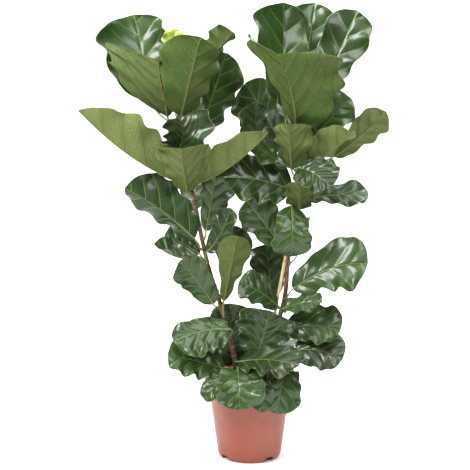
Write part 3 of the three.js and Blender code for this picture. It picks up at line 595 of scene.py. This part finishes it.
def tube(name, points, radii, corners=4):
    """A closed round tube along points; places and radii in millimetres."""
    curve = bpy.data.curves.new(name, "CURVE")
    curve.dimensions = "3D"
    curve.bevel_depth = 1.0
    curve.bevel_resolution = corners
    curve.use_fill_caps = True
    line = curve.splines.new("POLY")
    line.points.add(len(points) - 1)
    for point, at, radius in zip(line.points, to_frame(points), radii):
        point.co = (*at, 1)
        point.radius = radius * MM
    piece = bpy.data.objects.new(name, curve)
    bpy.context.collection.objects.link(piece)
    only(piece)
    bpy.ops.object.convert(target="MESH")
    bpy.ops.object.mode_set(mode="EDIT")
    bpy.ops.mesh.select_all(action="SELECT")
    bpy.ops.mesh.remove_doubles(threshold=0.00001)
    bpy.ops.mesh.normals_make_consistent(inside=False)
    bpy.ops.object.mode_set(mode="OBJECT")
    bpy.ops.object.shade_smooth()
    return named(name)


def closeness(heights, marks, reach):
    """1 at each mark, falling away over reach."""
    away = np.abs(np.asarray(heights)[:, None] - np.array(marks)[None, :]).min(axis=1)
    return np.exp(-(away / reach) ** 2)


SCAR_SPACING = (15, 34)
BUD = [(1.05, 4), (0.95, 9), (0.75, 15), (0.5, 22), (0.12, 30)]  # share of the tip's radius, rise
BARK_LUMPS = 0.05


def old_scars(rng, top):
    """Heights of the old leaf scars, closer together towards the top."""
    scars = [0]
    while scars[-1] < top - 20:
        scars.append(scars[-1] + rng.uniform(*SCAR_SPACING) * (1.15 - 0.5 * scars[-1] / top))
    return scars


def trunk(name, material):
    """A trunk with a ridge at each old leaf's scar, and the pointed bud sheath on its end."""
    path = smooth_path(TRUNKS[name], 60)
    end = path[-1]
    scars = old_scars(random.Random(name), end[2])
    radii = [trunk_at(name, min(h, end[2] - 0.01))[1] for h in path[:, 2]]
    radii = np.array(radii) * (0.97 + 0.12 * closeness(path[:, 2], scars, 2.4))
    points = np.vstack([path, [end + (0, 0, rise) for _, rise in BUD]])
    radii = np.append(radii, [TRUNK_TIP_RADIUS * share for share, _ in BUD])
    piece = tube(f"stem_{name}", points, radii, corners=6)
    at = places(piece)
    height = (at[:, 2] - SOIL_TOP) / MM
    lump = np.sin(at[:, 2] * 210 + at[:, 0] * 900) * np.sin(at[:, 1] * 1100 + at[:, 2] * 95)
    middle = np.stack([np.interp(height, points[:, 2], points[:, i]) for i in (0, 1, 2)], axis=1)
    outward = at - to_frame(middle)
    place(piece, at + outward * (BARK_LUMPS * lump)[:, None])
    write_attribute(piece, "scar", closeness(height, scars, 1.8))
    write_attribute(piece, "bud", np.clip((height - end[2]) / 6, 0, 1))
    use(piece, material)
    finish(piece, f"trunk_{name}")


def cane(material):
    """The bamboo cane, swollen at each joint, with an open end."""
    foot, tip = np.array(CANE, float)
    joints = [i / CANE_JOINTS for i in range(1, CANE_JOINTS)]
    shares = np.linspace(0, 1, 260)
    swell = closeness(shares, joints, 0.006)
    groove = closeness(shares, [j - 0.008 for j in joints], 0.003)
    points = foot + (tip - foot) * shares[:, None]
    radii = CANE_RADIUS * (1 + 0.11 * swell - 0.05 * groove)
    piece = tube("cane_of_bamboo", points, radii, corners=8)
    at = places(piece)
    height = (at[:, 2] - SOIL_TOP) / MM
    write_attribute(piece, "scar", closeness((height - foot[2]) / (tip[2] - foot[2]), joints, 0.005))
    bpy.ops.object.mode_set(mode="EDIT")
    bpy.ops.mesh.select_mode(type="FACE")
    bpy.ops.mesh.select_all(action="DESELECT")
    bpy.ops.object.mode_set(mode="OBJECT")
    top = float(at[:, 2].max()) - 0.1 * MM
    for face in piece.data.polygons:
        face.select = face.center[2] > top and abs(face.normal[2]) > 0.7
    bpy.ops.object.mode_set(mode="EDIT")
    bpy.ops.mesh.inset(thickness=CANE_WALL * MM)
    bpy.ops.mesh.extrude_region_move(TRANSFORM_OT_translate={"value": (0, 0, -CANE_HOLLOW * MM)})
    bpy.ops.mesh.select_mode(type="VERT")
    bpy.ops.object.mode_set(mode="OBJECT")
    use(piece, material)
    finish(piece, "bamboo_cane")


trunk_bark = bark()
for trunk_name in TRUNKS:
    trunk(trunk_name, trunk_bark)
cane(bamboo())

# ---------- leaves ----------

# Half width of a blade along its length: a fiddle shape, what a broad base adds, what a long
# tip takes.
STATIONS = [0, 0.03, 0.08, 0.16, 0.28, 0.42, 0.56, 0.7, 0.81, 0.9, 0.96, 1]
FIDDLE = [0.1, 0.2, 0.3, 0.38, 0.47, 0.64, 0.86, 1, 0.98, 0.8, 0.52, 0.05]
BROAD = [0, 0.15, 0.3, 0.42, 0.4, 0.28, 0.12, 0, 0, 0, 0, 0]
TAPER = [0, 0, 0, 0, 0, 0, 0.05, -0.08, -0.24, -0.3, -0.24, 0]

# The blade's grid. Its lines are closer together by the midrib and by both ends.
ACROSS = 40
ALONG = 76
CROWDING_BY_MIDRIB = 1.35
EVEN_SPACING = 0.4

# Ripples, in millimetres. A margin's waves are lower on a small leaf, and the quilting is deeper
# on a blade that shows its under side.
WAVE_HEIGHTS = (6.5, 11.0)
WAVES_PER_SIDE = (2.3, 3.8)
LARGE_HALF = 56
SMALL_LEAF_WAVES = 0.65
QUILTS = (1.7, 2.8)
CRINKLED_QUILT = 4.2
TURNED_AWAY_QUILT = 1.6
VEIN_GROOVE = 0.9
TWIST = 3.5
LOBES_PER_WAVE = 1.25
LOBING = 0.06
FOLDED_LOBING = 0.085

# Blade and petiole, in millimetres. The petiole's swell goes from the bark to the blade's foot,
# and then along the midrib, at these shares of the blade's length.
BLADE_THICKNESS = 0.9
PETIOLE_RADIUS = 2.5
PETIOLE_SWELL = [1.3, 1.22, 1.05, 0.98, 0.94, 0.9, 0.9, 0.9, 0.9, 0.92, 0.94, 0.92]
RUN_IN = [0.06, 0.14, 0.22]
RUN_IN_SWELL = [0.8, 0.6, 0.4]
RUN_IN_DEPTH = 1.2
PETIOLE_BEND = 0.35
GAP = 0.35


def along_profile(s, values):
    """A smooth curve through a blade's stations that never overshoots them."""
    x, y = np.array(STATIONS, float), np.array(values, float)
    step = np.diff(x)
    slope = np.diff(y) / step
    lean = np.zeros(len(x))
    for i in range(1, len(x) - 1):
        if slope[i - 1] * slope[i] > 0:
            w, z = 2 * step[i] + step[i - 1], step[i] + 2 * step[i - 1]
            lean[i] = (w + z) / (w / slope[i - 1] + z / slope[i])
    lean[0], lean[-1] = slope[0], slope[-1]
    i = np.clip(np.searchsorted(x, s) - 1, 0, len(x) - 2)
    t = (s - x[i]) / step[i]
    held = (2 * t ** 3 - 3 * t ** 2 + 1) * y[i] + (3 * t ** 2 - 2 * t ** 3) * y[i + 1]
    return held + step[i] * ((t ** 3 - 2 * t ** 2 + t) * lean[i] + (t ** 3 - t ** 2) * lean[i + 1])


def direction(bearing, rise):
    """From a bearing (0 faces the front, 90 faces +X) and a rise above level, in degrees."""
    turn = radians(bearing)
    flat = cos(radians(rise))
    return np.array([sin(turn) * flat, -cos(turn) * flat, sin(radians(rise))])


def midrib(foot, crown, tip, up, s):
    """Points, tangents and normals along the midrib."""
    s = np.asarray(s)[:, None]
    at = (1 - s) ** 2 * foot + 2 * s * (1 - s) * crown + s ** 2 * tip
    ahead = unit((1 - s) * (crown - foot) + s * (tip - crown))
    normal = unit(up - (ahead @ up)[:, None] * ahead)
    return at, ahead, normal


def by_side(pair, is_right):
    """The left or the right one of two values, for each point."""
    return np.array(pair, float)[is_right]


def rolled_sheet(line, u, s, out, is_right, fold, curl, sweep, halves):
    """The blade's points and the way its upper side faces: each half is folded up at the midrib
    and rolls into a curl towards its margin."""
    at, ahead, normal = midrib(*line, s)
    right = np.cross(ahead, normal)
    sign = np.where(u < 0, -1, 1)
    turn = np.radians(by_side(curl, is_right)) / halves
    turn = np.where(np.abs(turn) < 1e-6, 1e-6, turn)
    start = np.radians(by_side(fold, is_right)) * np.minimum(1, 0.5 + 4 * s)
    end = start + turn * out
    x = (np.sin(end) - np.sin(start)) / turn
    z = (np.cos(start) - np.cos(end)) / turn
    forward = by_side(sweep, is_right) * out
    sheet = at + right * (sign * x)[:, None] + normal * z[:, None] + ahead * forward[:, None]
    facing = normal * np.cos(end)[:, None] - right * (sign * np.sin(end))[:, None]
    return sheet, facing


def blade_relief(u, s, out, share, off, quilt, sway, phase):
    """Veins sunk into the upper side, the blade quilted between them, the margin waved."""
    edge = np.abs(u)
    sign = np.where(u < 0, -1, 1)
    bulge = np.sin(pi * off) ** 0.8
    relief = quilt * (bulge - 0.45) * (1 - edge ** 4)
    relief = relief * np.clip(out / 9, 0, 1) * np.clip(share * 2, 0, 1)
    relief -= VEIN_GROOVE * np.exp(-(out / 2.4) ** 2)
    relief += sway * edge ** 2 * np.clip(share * 1.3, 0, 1) * np.clip(s * 5, 0, 1)
    rocking = np.sin(2 * pi * 1.3 * s + phase[0]) * np.sin(2.6 * sign * edge + phase[1])
    return relief + TWIST * rocking * edge * share


def write_maps(blade, maps):
    """Gives the blade its UV maps, by name, each from places across and along."""
    corners = np.empty(len(blade.data.loops), dtype=np.int32)
    blade.data.loops.foreach_get("vertex_index", corners)
    layers = blade.data.uv_layers
    layers.remove(layers[0])
    for name, (across, along) in maps.items():
        layer = layers.new(name=name)
        pairs = np.stack([across[corners], along[corners]], axis=1).astype(np.float32)
        layer.data.foreach_set("uv", pairs.ravel())


def thicken(blade, sheet, facing, out, s):
    """Makes the blade a thin solid, with the midrib standing out of its under side."""
    only(blade)
    wall = blade.modifiers.new("thickness", "SOLIDIFY")
    wall.thickness = BLADE_THICKNESS * MM
    wall.offset = 0
    wall.material_offset = 1
    wall.material_offset_rim = 1
    bpy.ops.object.modifier_apply(modifier=wall.name)
    both = places(blade)
    count = len(sheet)
    upper_first = ((both[:count] - to_frame(sheet)) * facing).sum() > 0
    under = slice(count, None) if upper_first else slice(0, count)
    ridge = (2.4 - 1.9 * s) * np.exp(-(out / (2.6 - 1.4 * s)) ** 2) * MM
    both[under] -= facing * ridge[:, None]
    place(blade, both)
    bpy.ops.object.shade_smooth()


def petiole(name, centre, radius, axis, reach, line):
    """The stalk: it leaves the bark square to the trunk and bends into the midrib."""
    foot = line[0]
    away = np.array([reach[0], reach[1], 0.0])
    away = unit(away - away @ axis * axis)
    base = centre + away * (radius + GAP)
    bend = np.linalg.norm(foot - base) * PETIOLE_BEND
    rib, ahead, lift = midrib(*line, [0.0, *RUN_IN])
    leaving = base + unit(away + np.array([0, 0, 0.6])) * bend
    arriving = foot - ahead[0] * bend
    t = np.linspace(0, 1, len(PETIOLE_SWELL))[:, None]
    stalk = (1 - t) ** 3 * base + 3 * t * (1 - t) ** 2 * leaving
    stalk = stalk + 3 * t * t * (1 - t) * arriving + t ** 3 * foot
    points = np.vstack([stalk, rib[1:] - lift[1:] * RUN_IN_DEPTH])
    piece = tube(f"stalk_{name}", points, np.array(PETIOLE_SWELL + RUN_IN_SWELL) * PETIOLE_RADIUS)
    use(piece, STALK)
    return piece


def leaf(row):
    """One leaf: a quilted, wavy blade and its petiole, which runs into the midrib."""
    (name, trunk_name, height, reach, span, bow, faces,
     half, fold, curl, broad, taper, sweep) = row
    rng = random.Random(name)
    young = "young" in name
    centre, radius, axis = trunk_at(trunk_name, height)
    foot = centre + np.array(reach, float)
    tip = foot + np.array(span, float)
    crown = (foot + tip) / 2 + 2 * np.array(bow, float)
    line = (foot, crown, tip, direction(*faces))
    legs = (crown - foot, tip - crown, tip - foot)
    length = sum(np.linalg.norm(leg) for leg in legs) / 2

    lively = 1.0 if max(half) > LARGE_HALF else SMALL_LEAF_WAVES
    wave = [rng.uniform(*WAVE_HEIGHTS) * lively for _ in half]
    waves = [rng.uniform(*WAVES_PER_SIDE) for _ in half]
    phase = [rng.uniform(0, 2 * pi) for _ in half]
    quilt = CRINKLED_QUILT if young or "crinkled" in name else rng.uniform(*QUILTS)
    if abs(faces[0]) > 90:
        quilt *= TURNED_AWAY_QUILT
    tone = 1.0 if "wing" in name or "far" in name else rng.uniform(0, 0.45)
    lobing = FOLDED_LOBING if max(fold) >= 40 else LOBING

    # u runs from -1 to 1 across the blade, s from 0 to 1 along it.
    bpy.ops.mesh.primitive_grid_add(x_subdivisions=ACROSS, y_subdivisions=ALONG, size=2)
    blade = named(f"blade_{name}")
    grid = places(blade)
    u = np.sign(grid[:, 0]) * np.abs(grid[:, 0]) ** CROWDING_BY_MIDRIB
    v = (grid[:, 1] + 1) / 2
    s = EVEN_SPACING * v + (1 - EVEN_SPACING) / 2 * (1 - np.cos(pi * v))
    is_right = (u > 0).astype(int)

    halves = by_side(half, is_right)
    cycles = by_side(waves, is_right) * s
    start = by_side(phase, is_right)
    share = along_profile(s, FIDDLE)
    share = share + broad * along_profile(s, BROAD) + taper * along_profile(s, TAPER)
    share = np.maximum(share, 0.04)
    scallop = np.sin(2 * pi * LOBES_PER_WAVE * cycles + start * 2)
    out = np.abs(u) * share * (1 + lobing * scallop * np.sin(pi * s)) * halves
    flat_x = out / length
    flat_y = s + by_side(sweep, is_right) * out / length
    off = vein_phase(flat_x, flat_y, is_right)
    off = np.abs(off - np.round(off))
    sway = by_side(wave, is_right) * np.sin(2 * pi * cycles + start)

    sheet, facing = rolled_sheet(line, u, s, out, is_right, fold, curl, sweep, halves)
    relief = blade_relief(u, s, out, share, off, quilt, sway, phase)
    sheet = sheet + facing * relief[:, None]
    place(blade, to_frame(sheet))
    side = np.where(u < 0, -1, 1)
    write_maps(blade, {"flat": (0.5 + side * flat_x, flat_y), "blade": ((u + 1) / 2, s)})
    write_attribute(blade, "tone", np.full(len(sheet), tone))
    use(blade, *((YOUNG_TOP, YOUNG_UNDER) if young else (LEAF_TOP, LEAF_UNDER)), STALK)
    thicken(blade, sheet, facing, out, s)
    stalk = petiole(name, centre, radius, axis, reach, line)
    only(blade, stalk)
    bpy.ops.object.join()
    finish(blade, f"leaf_{name}")


for leaf_row in LEAVES:
    leaf(leaf_row)

# ---------- pot and soil ----------

SEGMENTS = 128


def raised(name, rings):
    """A round piece drawn up ring by ring and closed at both ends; a ring is radius and height."""
    radius, height = rings[0]
    bpy.ops.mesh.primitive_circle_add(vertices=SEGMENTS, radius=radius, fill_type="NGON")
    piece = named(name)
    bpy.ops.object.mode_set(mode="EDIT")
    bpy.ops.mesh.select_all(action="SELECT")
    bpy.ops.transform.translate(value=(0, 0, height))
    for wider, higher in rings[1:]:
        bpy.ops.mesh.extrude_region_move(TRANSFORM_OT_translate={"value": (0, 0, higher - height)})
        share = wider / radius
        bpy.ops.transform.resize(value=(share, share, 1), center_override=(0, 0, higher))
        radius, height = wider, higher
    bpy.ops.mesh.select_all(action="SELECT")
    bpy.ops.mesh.normals_make_consistent(inside=False)
    bpy.ops.object.mode_set(mode="OBJECT")
    return piece


def wall_radius(height):
    """The outside of the pot's tapered wall."""
    return FOOT_RADIUS + (BODY_TOP_RADIUS - FOOT_RADIUS) * height / COLLAR_FOOT


def rings_from(radius, height, steps):
    """Rings by their steps outwards and upwards, in millimetres, from one radius and height."""
    return [(radius + out * MM, height + rise * MM) for out, rise in steps]


def notch(body, turn):
    """Cuts one drainage notch through the foot of the pot with a block that starts below it."""
    depth = 24 * MM
    below = 4 * MM
    away = FOOT_RADIUS + MM
    at = (away * cos(turn), away * sin(turn), (NOTCH_HEIGHT - below) / 2)
    bpy.ops.object.select_all(action="DESELECT")
    bpy.ops.mesh.primitive_cube_add(size=1, location=at, rotation=(0, 0, turn))
    block = named("notch_block")
    block.scale = (depth, NOTCH_WIDTH, NOTCH_HEIGHT + below)
    bpy.ops.object.transform_apply(location=True, rotation=True, scale=True)
    rounding = block.modifiers.new("corners", "BEVEL")
    rounding.width = 2 * MM
    rounding.segments = 3
    bpy.ops.object.modifier_apply(modifier=rounding.name)
    only(body)
    hole = body.modifiers.new("notch", "BOOLEAN")
    hole.operation = "DIFFERENCE"
    hole.object = block
    bpy.ops.object.modifier_apply(modifier=hole.name)
    bpy.data.objects.remove(block)


def pot(material):
    """The tapered pot: rounded collar, thin wall, and a foot notched for drainage."""
    # Up the outside, over the rim, down the inside and in across the floor.
    rings = rings_from(FOOT_RADIUS, 0, [(-5.5, 0), (-3.2, 0.5), (-2, 2.2)])
    rings += [(wall_radius(7 * MM) - 0.4 * MM, 7 * MM), (wall_radius(10 * MM), 10 * MM)]
    rings += [(wall_radius(h * MM), h * MM) for h in range(24, 200, 22)]
    rings += rings_from(BODY_TOP_RADIUS, COLLAR_FOOT, [(0, -0.6), (0.6, 0)])
    rings += rings_from(RIM_RADIUS, COLLAR_FOOT, [(-2.6, 0.8), (-0.8, 2), (0, 4)])
    rings += rings_from(RIM_RADIUS, POT_HEIGHT, [(0, -3), (-0.5, -1.2), (-1.5, -0.2), (-2.6, 0)])
    rings += rings_from(RIM_RADIUS, POT_HEIGHT, [(-3.6, -0.5), (-4.2, -2)])
    rings += rings_from(RIM_RADIUS, COLLAR_FOOT, [(-4.4, 4)])
    rings += [(BODY_TOP_RADIUS - WALL, COLLAR_FOOT - MM)]
    rings += [(wall_radius(h * MM) - WALL, h * MM) for h in range(188, 20, -28)]
    rings += [(wall_radius(10 * MM) - WALL, 10 * MM)]
    rings += rings_from(FOOT_RADIUS, FLOOR, [(-8, 0.5), (-12, 0)])
    body = raised("nursery_pot", rings)
    for i in range(NOTCHES):
        notch(body, radians(FIRST_NOTCH + i * 360 / NOTCHES))
    only(body)
    bpy.ops.object.shade_smooth_by_angle(angle=radians(32))
    use(body, material)
    finish(body, "pot")


SOIL_RINGS = 22
CRUMBS = 420


def crumb(rng):
    """One crumb of peat, half sunk in the soil."""
    away = SOIL_RADIUS * rng.uniform(0.05, 0.95) ** 0.5
    turn = rng.uniform(0, 2 * pi)
    size = rng.uniform(0.9, 2.6) * MM
    where = (away * cos(turn), away * sin(turn), SOIL_TOP - 1.2 * MM + size * 0.2)
    bpy.ops.mesh.primitive_ico_sphere_add(subdivisions=1, radius=size, location=where)
    piece = bpy.context.object
    piece.scale = (rng.uniform(0.7, 1.5), rng.uniform(0.7, 1.3), rng.uniform(0.5, 0.9))
    piece.rotation_euler = (0, 0, rng.uniform(0, pi))
    return piece


def soil(material):
    """Potting soil with an uneven, crumbly surface."""
    rng = random.Random("soil")
    shoulder = SOIL_TOP - 8 * MM
    rings = [(FOOT_RADIUS - 13.5 * MM, SOIL_FOOT), (wall_radius(shoulder) - WALL - MM, shoulder)]
    rings += [(SOIL_RADIUS * (1 - i / SOIL_RINGS), SOIL_TOP) for i in range(SOIL_RINGS)]
    body = raised("potting_soil", rings)
    at = places(body)
    top = at[:, 2] > SOIL_TOP - MM
    x, y = at[:, 0], at[:, 1]
    swell = np.sin(x * 61 + 1) * np.cos(y * 53) + 0.6 * np.sin(x * 170 + y * 140)
    swell = swell + 0.5 * np.cos(y * 310 - x * 240)
    at[:, 2] += top * (swell * 0.7 - 1.4) * MM
    place(body, at)
    only(body)
    bpy.ops.object.shade_smooth()
    crumbs = [crumb(rng) for _ in range(CRUMBS)]
    only(*crumbs)
    bpy.ops.object.transform_apply(location=True, rotation=True, scale=True)
    only(body, *crumbs)
    bpy.ops.object.join()
    use(body, material)
    finish(body, "soil")


pot(pot_plastic())
soil(potting_soil())

# ---------- floor, light and camera ----------

# In metres; the curve behind the plant starts at this angle, in degrees.
BACKDROP_WIDTH = 9
BACKDROP_DEPTH = 7
BACKDROP_WALL = 5
CURVE_STEPS = 8
CURVE_STEP = 0.25
CURVE_START = 6


def backdrop():
    """A pale floor that curves up behind the plant."""
    bpy.ops.mesh.primitive_plane_add(size=1)
    sheet = named("backdrop")
    sheet.scale = (BACKDROP_WIDTH, BACKDROP_DEPTH, 1)
    bpy.ops.object.transform_apply(scale=True)
    bpy.ops.object.mode_set(mode="EDIT")
    bpy.ops.mesh.select_mode(type="EDGE")
    bpy.ops.mesh.select_all(action="DESELECT")
    bpy.ops.object.mode_set(mode="OBJECT")
    for edge in sheet.data.edges:
        edge.select = all(sheet.data.vertices[i].co.y > 0 for i in edge.vertices)
    bpy.ops.object.mode_set(mode="EDIT")
    for i in range(CURVE_STEPS):
        turn = radians(i * 90 / CURVE_STEPS + CURVE_START)
        step = Vector((0, cos(turn) * CURVE_STEP, sin(turn) * CURVE_STEP))
        bpy.ops.mesh.extrude_region_move(TRANSFORM_OT_translate={"value": step})
    bpy.ops.mesh.extrude_region_move(TRANSFORM_OT_translate={"value": (0, 0, BACKDROP_WALL)})
    bpy.ops.mesh.select_mode(type="VERT")
    bpy.ops.object.mode_set(mode="OBJECT")
    bpy.ops.object.shade_smooth()
    material, _, shader = new_material("backdrop_paper")
    shader.inputs["Base Color"].default_value = (0.93, 0.93, 0.93, 1)
    shader.inputs["Roughness"].default_value = 0.9
    use(sheet, material)


def softbox(name, at, target, size, power):
    """A square lamp turned to its target; size in metres, power in watts."""
    bpy.ops.object.light_add(type="AREA", location=at)
    lamp = bpy.context.object
    lamp.name = name
    lamp.data.size = size
    lamp.data.energy = power
    lamp.rotation_euler = (Vector(target) - Vector(at)).to_track_quat("-Z", "Y").to_euler()


backdrop()
middle = (0, 0, cad_box[1][2] / 2)
softbox("key", (-2.0, -1.4, 2.6), middle, 1.2, 120)
softbox("fill", (1.3, -2.5, 2.7), middle, 1.4, 62)
softbox("top", (0.1, -0.3, 3.2), middle, 2.2, 105)
softbox("back", (1.2, 2.0, 2.4), middle, 1.2, 60)
softbox("sweep", (0, 1.6, 2.9), (0, 4, 0.8), 2.5, 190)

world = bpy.data.worlds.new("studio")
bpy.context.scene.world = world
world.use_nodes = True
sky = world.node_tree.nodes["Background"]
sky.inputs["Color"].default_value = (1, 1, 1, 1)
sky.inputs["Strength"].default_value = 0.12
bpy.context.scene.view_settings.view_transform = "Standard"

LOOKING_DOWN = 9.8
pitch = radians(90 - LOOKING_DOWN)
bpy.ops.object.camera_add(location=(-0.038, -3.0, 1.1), rotation=(pitch, 0, 0))
camera = bpy.context.object
camera.data.lens = 91.5
camera.data.sensor_width = 36
camera.data.clip_end = 50
bpy.context.scene.camera = camera
